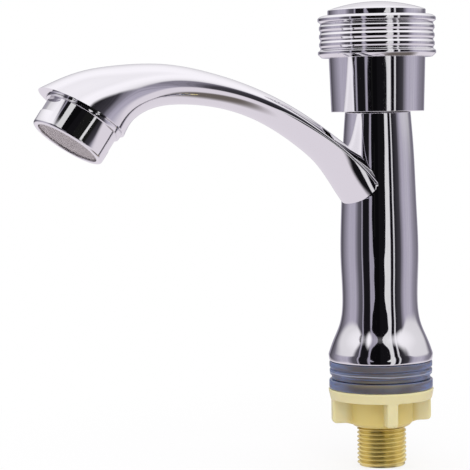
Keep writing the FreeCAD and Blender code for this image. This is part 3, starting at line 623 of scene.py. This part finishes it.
# The base gasket: soft blue-grey rubber, moulded with two lips and squeezed between the base
# and the basin. It is a little wavy where nothing holds it.
gasket_h, tail_clear_r = 7.4, 11.078
wave_h, wave_turn, held_r, wavy_w = 0.22, 0.8, 18.0, 4.0

# Radius, height and rounding of its side: upper lip, groove, lower lip and foot
gasket_side = [(21.9, 0.0, 0.5), (21.9, -2.6, 0.6), (21.2, -2.75, 0.2), (21.2, -3.3, 0.2),
               (21.9, -3.45, 0.5), (21.7, -5.5, 0.5), (21.0, -5.9, 0.3), (21.0, -gasket_h, 0.3)]
gasket = turned("base_gasket_rubber", rounded(
    [(tail_clear_r, 0.0), *gasket_side, (tail_clear_r, -gasket_h), (tail_clear_r, 0.0)], 3))
for vertex in gasket.data.vertices:
    around = math.atan2(vertex.co.y, vertex.co.x)
    depth = -vertex.co.z / mm
    loose = min(depth, gasket_h - depth) / (gasket_h / 2)
    out = max(0.0, vertex.co.xy.length / mm - held_r) / wavy_w
    vertex.co.z += wave_h * mm * loose * out * math.sin(2 * around + wave_turn)
smooth(gasket, 50)

rubber, tree, shader, place = new_material(
    "blue_grey_rubber", Roughness=0.36, Subsurface_Weight=0.2, Subsurface_Scale=0.002,
    Coat_Weight=0.15, Coat_Roughness=0.25)

# Nearly black where it is looked at squarely, with a painted blue sheen towards its edges,
# and pale dust and brown smears over it
facing = add_node(tree, "LayerWeight", Blend=0.5)
shade = add_node(tree, "ValToRGB", Fac=facing.outputs["Facing"])
shade.color_ramp.elements[0].position = 0.15
shade.color_ramp.elements[0].color = (0.078, 0.073, 0.080, 1)
shade.color_ramp.elements[1].position = 0.5
shade.color_ramp.elements[1].color = (0.13, 0.175, 0.34, 1)
stain = add_node(tree, "TexNoise", Vector=place, Scale=60.0, Detail=3.0)
blotch = add_node(tree, "MapRange", Value=stain.outputs["Fac"], _1=0.3, _2=0.7, _3=0.0, _4=0.35)
dusty = add_node(tree, "MixRGB", _0=blotch.outputs[0], _1=shade.outputs["Color"],
                 _2=(0.19, 0.20, 0.26, 1))
stretch = add_node(tree, "VectorMath", {"operation": "MULTIPLY"}, _0=place, _1=(1, 1, 6))
smear = add_node(tree, "TexNoise", Vector=stretch.outputs[0], Scale=110.0, Detail=4.0)
grime = add_node(tree, "MapRange", Value=smear.outputs["Fac"], _1=0.44, _2=0.62, _3=0.0, _4=0.7)
smeared = add_node(tree, "MixRGB", _0=grime.outputs[0], _1=dusty.outputs[0],
                   _2=(0.10, 0.085, 0.085, 1))

# A thin pale line 4 mm down, a painted highlight on the upper edge of the lower lip, and an
# olive band 8 mm down where the two washers meet, a painted glow of brass seen through the rubber
level = add_node(tree, "SeparateXYZ", Vector=place)
wander = add_node(tree, "Math", {"operation": "MULTIPLY_ADD"}, _0=stain.outputs["Fac"], _1=0.0012,
                  _2=level.outputs["Z"])
# Painted highlight: a pale line on the upper edge of the lower lip, wavering with the noise
highlight_line = add_node(tree, "Math", {"operation": "ADD"}, _0=wander.outputs[0], _1=0.0040)
highlight_off = add_node(tree, "Math", {"operation": "ABSOLUTE"}, _0=highlight_line.outputs[0])
painted_highlight = add_node(tree, "MapRange", Value=highlight_off.outputs[0], _1=0.00008, _2=0.0003, _3=0.75, _4=0.0)
with_highlight = add_node(tree, "MixRGB", _0=painted_highlight.outputs[0], _1=smeared.outputs[0],
                 _2=(0.42, 0.45, 0.55, 1))
# Painted glow: olive where the rubber is looked at squarely, for brass seen through it
low = add_node(tree, "Math", {"operation": "ADD"}, _0=level.outputs["Z"], _1=0.0078)
low_off = add_node(tree, "Math", {"operation": "ABSOLUTE"}, _0=low.outputs[0])
band = add_node(tree, "MapRange", Value=low_off.outputs[0], _1=0.0003, _2=0.0018, _3=0.8, _4=0.0)
front = add_node(tree, "MapRange", Value=facing.outputs["Facing"], _1=0.02, _2=0.3, _3=1.0, _4=0.0)
painted_brass_glow = add_node(tree, "Math", {"operation": "MULTIPLY"}, _0=band.outputs[0], _1=front.outputs[0])
with_brass_glow = add_node(tree, "MixRGB", _0=painted_brass_glow.outputs[0], _1=with_highlight.outputs[0],
                  _2=(0.22, 0.19, 0.12, 1))
tree.links.new(with_brass_glow.outputs[0], shader.inputs["Base Color"])
grain = add_node(tree, "TexNoise", Vector=place, Scale=900.0, Detail=3.0)
bump = add_node(tree, "Bump", Height=grain.outputs["Fac"], Strength=0.3, Distance=0.0001)
tree.links.new(bump.outputs["Normal"], shader.inputs["Normal"])
finish_piece(gasket, "tap", "washer_rubber", rubber, "base_gasket")


# The deck washer: a plain ring of the same rubber, loose on the tail below the basin. The
# backnut presses it up against the basin.
deck_r, deck_top, deck_foot, deck_top_edge, deck_foot_edge = 22.05, -7.7, -11.6, 0.6, 0.7
deck = turned("deck_washer_rubber", rounded([
    (tail_clear_r, deck_top), (deck_r, deck_top, deck_top_edge),
    (deck_r, deck_foot, deck_foot_edge), (tail_clear_r, deck_foot), (tail_clear_r, deck_top)], 4))
smooth(deck, 50)
finish_piece(deck, "washer", "washer_rubber", rubber, "deck_washer")


# The backnut: moulded in ivory plastic, with a tapered rim that presses on the washer, a hub
# with the thread, and four wings for the fingers.
nut_z, nut_rim_h, nut_foot = -11.65, 4.4, -27.85
nut_rim_r, nut_rim_foot_r, nut_hub_r, nut_bore_r = 22.5, 21.6, 13.4, 10.538
hub_chamfer, voxel = 1.6, 0.4
wing_r, wing_w, wing_foot, wing_corner, wing_edge = 21.5, 4.6, -26.25, 2.0, 0.8
wing_turn, wing_count, wing_root, wing_rise, wing_inset = math.radians(-18.0), 4, 1.0, 2.0, 0.8

rim_foot = nut_z - nut_rim_h
nut = turned("ivory_backnut", [
    (nut_bore_r, nut_z), (nut_rim_r, nut_z), (nut_rim_foot_r, rim_foot), (nut_hub_r, rim_foot),
    (nut_hub_r, nut_foot + hub_chamfer), (nut_hub_r - hub_chamfer, nut_foot),
    (nut_bore_r, nut_foot), (nut_bore_r, nut_z)])
wing_corners = [
    (nut_bore_r + wing_root, rim_foot + wing_rise), (wing_r, rim_foot + wing_rise),
    (wing_r, wing_foot + wing_corner / 2), (wing_r - wing_corner / 2, wing_foot),
    (nut_hub_r + wing_corner, wing_foot), (nut_hub_r - wing_inset, nut_foot + wing_inset),
    (nut_bore_r + wing_root, nut_foot + wing_inset)]
join_blades(nut, wing_corners, wing_w, wing_count, wing_turn, wing_edge)
remesh = nut.modifiers.new("moulded", "REMESH")
remesh.mode = "VOXEL"
remesh.voxel_size = voxel * mm
bpy.context.view_layer.objects.active = nut
bpy.ops.object.modifier_apply(modifier=remesh.name)
soften = nut.modifiers.new("soften", "SMOOTH")
soften.factor = 0.5
soften.iterations = 4
bpy.ops.object.modifier_apply(modifier=soften.name)
smooth(nut, 80)

ivory, tree, shader, place = new_material(
    "moulded_ivory", Roughness=0.38, Subsurface_Weight=0.35, Subsurface_Scale=0.003,
    Specular_IOR_Level=0.4)
shader.inputs["Subsurface Radius"].default_value = (1.0, 0.75, 0.35)
shade = two_tone(tree, shader, place, 60.0, 3.0, (0.68, 0.615, 0.345), (0.73, 0.66, 0.39))
shade.color_ramp.elements[0].position = 0.3
shade.color_ramp.elements[1].position = 0.7

# The hub, down between the wings, is painted a darker, deeper yellow than the rim and the
# wings: painted shade in the recesses, and the yellow light that bounces between them
flat = add_node(tree, "VectorMath", {"operation": "MULTIPLY"}, _0=place, _1=(1, 1, 0))
reach = add_node(tree, "VectorMath", {"operation": "LENGTH"}, _0=flat.outputs[0])
recess_shade = add_node(tree, "MapRange", Value=reach.outputs["Value"], _1=0.0136, _2=0.0165, _3=1.0,
                 _4=0.0)
shaded_hub = add_node(tree, "MixRGB", _0=recess_shade.outputs[0], _1=shade.outputs["Color"],
                _2=(0.68, 0.55, 0.20, 1))
tree.links.new(shaded_hub.outputs[0], shader.inputs["Base Color"])
grain = add_node(tree, "TexNoise", Vector=place, Scale=1400.0, Detail=2.0)
bump = add_node(tree, "Bump", Height=grain.outputs["Fac"], Strength=0.25, Distance=0.00006)
tree.links.new(bump.outputs["Normal"], shader.inputs["Normal"])
finish_piece(nut, "nut", "ivory_plastic", ivory, "backnut")


# The pieces inside, as the headwork and the outlet hold them: turned brass, lapped ceramic discs,
# black sealing rubber, white plastic, and steel for the screw, its washer, the clip and the wires.

# Name, roughness, scale and detail of the blotches, darker tone and lighter tone
inner_finishes = {
    "seal_rubber": ("black_seal_rubber", 0.5, 700.0, 3.0,
                    (0.012, 0.012, 0.013), (0.045, 0.045, 0.048)),
    "white_plastic": ("white_moulded_plastic", 0.35, 120.0, 2.0,
                      (0.78, 0.78, 0.76), (0.88, 0.88, 0.86)),
    "ceramic": ("lapped_ceramic", 0.18, 300.0, 4.0, (0.86, 0.83, 0.75), (0.93, 0.91, 0.86))}
finish_of_slot = {"brass": brass, "steel": steel}
for slot, (name, roughness, scale, detail, dark, light) in inner_finishes.items():
    finish_of_slot[slot], tree, shader, place = new_material(name, Roughness=roughness)
    two_tone(tree, shader, place, scale, detail, dark, light)
for part in frame["record"]["subparts"]:
    finish = finish_of_slot.get(part["material_slot"])
    node = frame["nodes"][part["node"]]
    if finish and node.material_slots:
        for holder in node.material_slots:
            holder.material = finish


# The floor: a pale disc that the tail's foot stands on. It is nearly white to the camera and
# keeps a faint shadow. The chrome and a camera below look through it at the pale studio.
floor_z, floor_r = -45.4, 3.0
bpy.ops.object.select_all(action="DESELECT")
bpy.ops.mesh.primitive_circle_add(vertices=96, radius=floor_r, fill_type="NGON", location=(0, 0, 0))
floor = bpy.context.object
floor.name = floor.data.name = "floor"
floor.data.transform(Matrix.Translation((0, 0, floor_z * mm)))
paper = bpy.data.materials.new("pale_floor")
paper.use_nodes = True
tree = paper.node_tree
tree.nodes.clear()
path = add_node(tree, "LightPath")
from_below = add_node(tree, "NewGeometry").outputs["Backfacing"]
matt = add_node(tree, "BsdfDiffuse", Color=(0.86, 0.84, 0.86, 1))
glow = add_node(tree, "Emission", Color=(1, 1, 1, 1), Strength=1.0)
middle = add_node(tree, "TexCoord").outputs["Object"]
distance = add_node(tree, "VectorMath", {"operation": "LENGTH"}, _0=middle)
lit = add_node(tree, "MapRange", Value=distance.outputs["Value"], _1=0.06, _2=0.25, _3=0.8, _4=1.0)
white = add_node(tree, "MixShader", _0=lit.outputs[0], _1=matt.outputs[0], _2=glow.outputs[0])
seen = add_node(tree, "MixShader", _0=path.outputs["Is Camera Ray"], _1=matt.outputs[0],
                _2=white.outputs[0])
clear = add_node(tree, "BsdfTransparent")
unseen = add_node(tree, "Math", {"operation": "MAXIMUM"}, _0=path.outputs["Is Glossy Ray"],
                  _1=from_below)
ghost = add_node(tree, "MixShader", _0=unseen.outputs[0], _1=seen.outputs[0], _2=clear.outputs[0])
add_node(tree, "OutputMaterial", Surface=ghost.outputs[0])
floor.data.materials.append(paper)


# The studio, as the chrome mirrors it: lilac walls, black and white screens in front of the tap, a
# bright ceiling above them and a pale floor below. The camera sees plain white behind the tap.
# Azimuths are in degrees from the camera, positive to its right, and heights from the horizon.
photo_turn = math.radians(27.0)

# Brightness of the walls by azimuth
walls = [
    (-180, 0.40), (-160, 0.36), (-154, 0.07), (-133, 0.22), (-118, 0.36), (-104, 0.50), (-84, 0.50),
    (-70, 0.13), (-60, 0.09), (-58.4, 0.09), (-57.6, 0.42), (-55.2, 0.42), (-54.4, 0.01),
    (-34.5, 0.01), (-33, 0.40), (-5.1, 0.40), (-4.9, 0.78), (28.6, 0.78), (29.3, 0.005),
    (37.2, 0.005), (37.9, 0.72), (41.5, 0.72), (42.2, 0.015), (60, 0.06), (66, 0.26), (75, 0.50),
    (95, 0.55), (104, 0.50), (116, 0.33), (147, 0.18), (155, 0.35), (180, 0.40)]

# The middle of the black screen in front, and half its width by height
card_azimuth = -5
card_half_widths = [
    (-90, 23.5), (-11, 23.5), (-10.3, 16.5), (-8.5, 15), (-6, 15.5), (-4, 17.5), (-2, 18.5),
    (0, 19.2), (1.4, 20.5), (5, 22.3), (20, 23.6), (28.7, 24.9), (33, 23), (36, 19), (38.5, 13),
    (40, 8), (41, 6), (45, 2), (90, 0)]

# How high the ceiling starts by azimuth, its brightness by height, and how far below the
# horizon the floor starts by azimuth
ceiling_starts = [
    (-180, 11), (-140, 14), (-110, 12), (-92, 13), (-76, 18), (-68, 27), (-60, 36), (-48, 39),
    (-40, 35), (-36, 34), (-31, 39), (-26, 43), (12, 43), (18, 41), (33, 38), (45, 34), (57, 28),
    (61, 27), (66, 23), (72, 15), (80, 8), (120, 3), (135, 8), (150, 12), (180, 10)]
ceiling_levels = [(0, 0.72), (12, 0.76), (22, 0.8), (30, 0.94), (40, 1.05), (52, 1.08),
                  (66, 0.97), (90, 1.0)]
floor_starts = [
    (-180, 6), (-150, 12), (-125, 18), (-85, 19), (-70, 26), (-60, 32), (-50, 40), (0, 46),
    (30, 42), (46, 35), (57, 27), (66, 24), (85, 20), (130, 16), (150, 8), (180, 6)]
soft_levels = [(-90, 0.7), (-20, 0.75), (30, 1.05), (90, 1.1)]
lilac = (0.92, 0.865, 1.06, 1)


def graded(value, stops, full=1.0):
    """Number that follows a value in straight stretches from stop to stop."""
    low, high = stops[0][0], stops[-1][0]
    share = add_node(tree, "MapRange", Value=value, _1=low, _2=high, _3=0.0, _4=1.0)
    ramp = add_node(tree, "ValToRGB", Fac=share.outputs[0])
    elements = ramp.color_ramp.elements
    while len(elements) < len(stops):
        elements.new(0.5)
    for element, (at, _) in zip(elements, stops):
        element.position = (at - low) / (high - low)
    for element, (_, level) in zip(elements, stops):
        element.color = (level / full, level / full, level / full, 1)
    return add_node(tree, "Math", {"operation": "MULTIPLY"}, _0=ramp.outputs[0], _1=full).outputs[0]


world = bpy.data.worlds.new("studio")
bpy.context.scene.world = world
world.use_nodes = True
tree = world.node_tree
tree.nodes.clear()
way = add_node(tree, "TexCoord").outputs["Generated"]
spun = add_node(tree, "VectorRotate", {"rotation_type": "Z_AXIS"}, Vector=way, Angle=photo_turn)
split = add_node(tree, "SeparateXYZ", Vector=spun.outputs[0])
around = add_node(tree, "Math", {"operation": "ARCTAN2"}, _0=split.outputs["Y"],
                  _1=split.outputs["X"])
azimuth = add_node(tree, "Math", {"operation": "DEGREES"}, _0=around.outputs[0]).outputs[0]
climb = add_node(tree, "Math", {"operation": "ARCSINE"}, _0=split.outputs["Z"])
height = add_node(tree, "Math", {"operation": "DEGREES"}, _0=climb.outputs[0]).outputs[0]

wall_level = graded(azimuth, walls)
from_card = add_node(tree, "Math", {"operation": "SUBTRACT"}, _0=azimuth, _1=card_azimuth)
off_card = add_node(tree, "Math", {"operation": "ABSOLUTE"}, _0=from_card.outputs[0])
past_card = add_node(tree, "Math", {"operation": "SUBTRACT"}, _0=off_card.outputs[0],
                     _1=graded(height, card_half_widths, 40.0))
open_wall = add_node(tree, "MapRange", Value=past_card.outputs[0], _1=-0.4, _2=0.4, _3=0.01, _4=1.0)
folds = add_node(tree, "TexNoise", {"noise_dimensions": "1D"}, W=azimuth, Scale=0.6, Detail=4.0)
creased = add_node(tree, "MapRange", Value=folds.outputs["Fac"], _1=0.3, _2=0.7, _3=0.80, _4=1.16)
draped = add_node(tree, "Math", {"operation": "MULTIPLY"}, _0=wall_level, _1=creased.outputs[0])
screened = add_node(tree, "Math", {"operation": "MULTIPLY"}, _0=draped.outputs[0],
                    _1=open_wall.outputs[0])
bright = add_node(tree, "MapRange", Value=screened.outputs[0], _1=0.52, _2=0.7, _3=0.0, _4=1.0)
tone = add_node(tree, "MixRGB", _0=bright.outputs[0], _1=lilac, _2=(1, 1, 1, 1))
wall = add_node(tree, "MixRGB", {"blend_type": "MULTIPLY"}, _0=1.0, _1=screened.outputs[0],
                _2=tone.outputs[0])

aside = add_node(tree, "Math", {"operation": "ABSOLUTE"}, _0=azimuth)
blur = add_node(tree, "MapRange", Value=aside.outputs[0], _1=40, _2=80, _3=4.0, _4=6.0)
over = add_node(tree, "Math", {"operation": "SUBTRACT"}, _0=height,
                _1=graded(azimuth, ceiling_starts, 90.0))
over_share = add_node(tree, "Math", {"operation": "DIVIDE"}, _0=over.outputs[0],
                      _1=blur.outputs[0])
above = add_node(tree, "MapRange", {"interpolation_type": "SMOOTHSTEP"},
                 Value=over_share.outputs[0], _1=-1, _2=1, _3=0.0, _4=1.0)
ceiling = add_node(tree, "MixRGB", {"blend_type": "MULTIPLY"}, _0=1.0,
                   _1=graded(height, ceiling_levels, 1.2), _2=(1.0, 0.98, 1.02, 1))
sunk = add_node(tree, "Math", {"operation": "ADD"}, _0=height,
                _1=graded(azimuth, floor_starts, 90.0))
sunk_share = add_node(tree, "Math", {"operation": "DIVIDE"}, _0=sunk.outputs[0],
                      _1=blur.outputs[0])
below = add_node(tree, "MapRange", {"interpolation_type": "SMOOTHSTEP"},
                 Value=sunk_share.outputs[0], _1=1, _2=-1, _3=0.0, _4=1.0)

# A dark patch on this floor, to the right and behind, streaks the underside of the arm
patch_azimuth, patch_height = math.radians(118), math.radians(-66)
patch_reach, patch_core = math.radians(25), math.radians(9)
patch_way = (math.cos(patch_azimuth) * math.cos(patch_height),
             math.sin(patch_azimuth) * math.cos(patch_height), math.sin(patch_height))
toward = add_node(tree, "VectorMath", {"operation": "DOT_PRODUCT"}, _0=spun.outputs[0],
                  _1=patch_way)
patch = add_node(tree, "MapRange", {"interpolation_type": "SMOOTHSTEP"},
                 Value=toward.outputs["Value"], _1=math.cos(patch_reach), _2=math.cos(patch_core),
                 _3=0.0, _4=1.0)
ground = add_node(tree, "MixRGB", _0=patch.outputs[0], _1=(0.79, 0.745, 0.81, 1),
                  _2=(0.15, 0.13, 0.12, 1))

# Metal mirrors the studio, rubber and plastic are lit softly by it, and the camera sees white
with_ceiling = add_node(tree, "MixRGB", _0=above.outputs[0], _1=wall.outputs[0],
                        _2=ceiling.outputs[0])
mirrored = add_node(tree, "MixRGB", _0=below.outputs[0], _1=with_ceiling.outputs[0],
                    _2=ground.outputs[0])
soft_light = graded(height, soft_levels, 1.2)
path = add_node(tree, "LightPath")
lighting = add_node(tree, "MixRGB", _0=path.outputs["Is Diffuse Ray"], _1=mirrored.outputs[0],
                    _2=soft_light)
shown = add_node(tree, "MixRGB", _0=path.outputs["Is Camera Ray"], _1=lighting.outputs[0],
                 _2=(1, 1, 1, 1))
backdrop = add_node(tree, "Background", Color=shown.outputs[0], Strength=1.0)
add_node(tree, "OutputWorld", Surface=backdrop.outputs[0])

# Four small screens close to the outlet, which only the chrome near them mirrors: azimuth from and
# to, height from and to, and brightness
outlet_middle = Vector((0, -0.140, 0.101))
screen_away, screen_range = 0.12, 0.15
screens = [(11.0, 30.5, -14, 11, 0.01), (30.5, 35.8, -18, 4, 0.78), (35.8, 44.0, -22, 4, 0.01),
           (-37.5, -20.5, 20, 34, 0.75)]
for start, end, low, high, level in screens:
    bpy.ops.object.select_all(action="DESELECT")
    bpy.ops.mesh.primitive_plane_add(size=1, location=(0, 0, 0))
    screen = bpy.context.object
    screen.name = screen.data.name = "outlet_screen"
    foot, top = (screen_away * math.tan(math.radians(angle)) for angle in (low, high))
    wide = 2 * screen_away * math.tan(math.radians(end - start) / 2)
    facing = Matrix.Rotation(math.radians((start + end) / 2) - photo_turn, 4, "Z")
    screen.data.transform(
        Matrix.Translation(outlet_middle) @ facing
        @ Matrix.Translation((screen_away, 0, (foot + top) / 2))
        @ Matrix.Rotation(math.pi / 2, 4, "Y") @ Matrix.Diagonal((top - foot, wide, 1, 1)))
    cloth = bpy.data.materials.new("screen_cloth")
    cloth.use_nodes = True
    tree = cloth.node_tree
    tree.nodes.clear()
    path = add_node(tree, "LightPath")
    far = add_node(tree, "Math", {"operation": "GREATER_THAN"}, _0=path.outputs["Ray Length"],
                   _1=screen_range)
    glow = add_node(tree, "Emission", Color=(level, level, level, 1), Strength=1.0)
    clear = add_node(tree, "BsdfTransparent")
    shown = add_node(tree, "MixShader", _0=far.outputs[0], _1=glow.outputs[0], _2=clear.outputs[0])
    add_node(tree, "OutputMaterial", Surface=shown.outputs[0])
    screen.data.materials.append(cloth)
    screen.visible_camera = screen.visible_diffuse = screen.visible_shadow = False

# One wide soft lamp above and in front, so that the rubber and plastic have a light side
lamp = bpy.data.lights.new("soft_lamp", "AREA")
lamp.shape = "DISK"
lamp.size = 0.9
lamp.energy = 6.0
lamp_place = bpy.data.objects.new("soft_lamp", lamp)
bpy.context.scene.collection.objects.link(lamp_place)
lamp_place.location = (1.15, -0.5, 1.1)
lamp_place.visible_glossy = False
lamp_aim = Vector((0, -0.05, 0.05)) - lamp_place.location
lamp_place.rotation_euler = lamp_aim.to_track_quat("-Z", "Y").to_euler()


# The camera: it stands 0.81 m from the pillar, level with the foot of the handle and a little
# to the left, and looks slightly down through a long lens.
camera_distance, camera_height, camera_left = 0.810, 0.108, 0.0613
camera_pitch, camera_roll = math.radians(3.774), math.radians(-1.0)
sensor_width, focal_length = 36.0, 146.21
right = Vector((math.sin(photo_turn), math.cos(photo_turn), 0))
away = Vector((-math.cos(photo_turn), math.sin(photo_turn), 0))
lens = bpy.data.cameras.new("camera")
lens.sensor_width = sensor_width
lens.lens = focal_length
camera = bpy.data.objects.new("camera", lens)
bpy.context.scene.collection.objects.link(camera)
aim = (Matrix.Rotation(math.pi / 2 - photo_turn, 4, "Z")
       @ Matrix.Rotation(math.pi / 2 - camera_pitch, 4, "X"))
stand = -away * camera_distance - right * camera_left + Vector((0, 0, camera_height))
camera.matrix_world = Matrix.Translation(stand) @ aim @ Matrix.Rotation(camera_roll, 4, "Z")
bpy.context.scene.camera = camera
bpy.context.scene.view_settings.view_transform = "Standard"
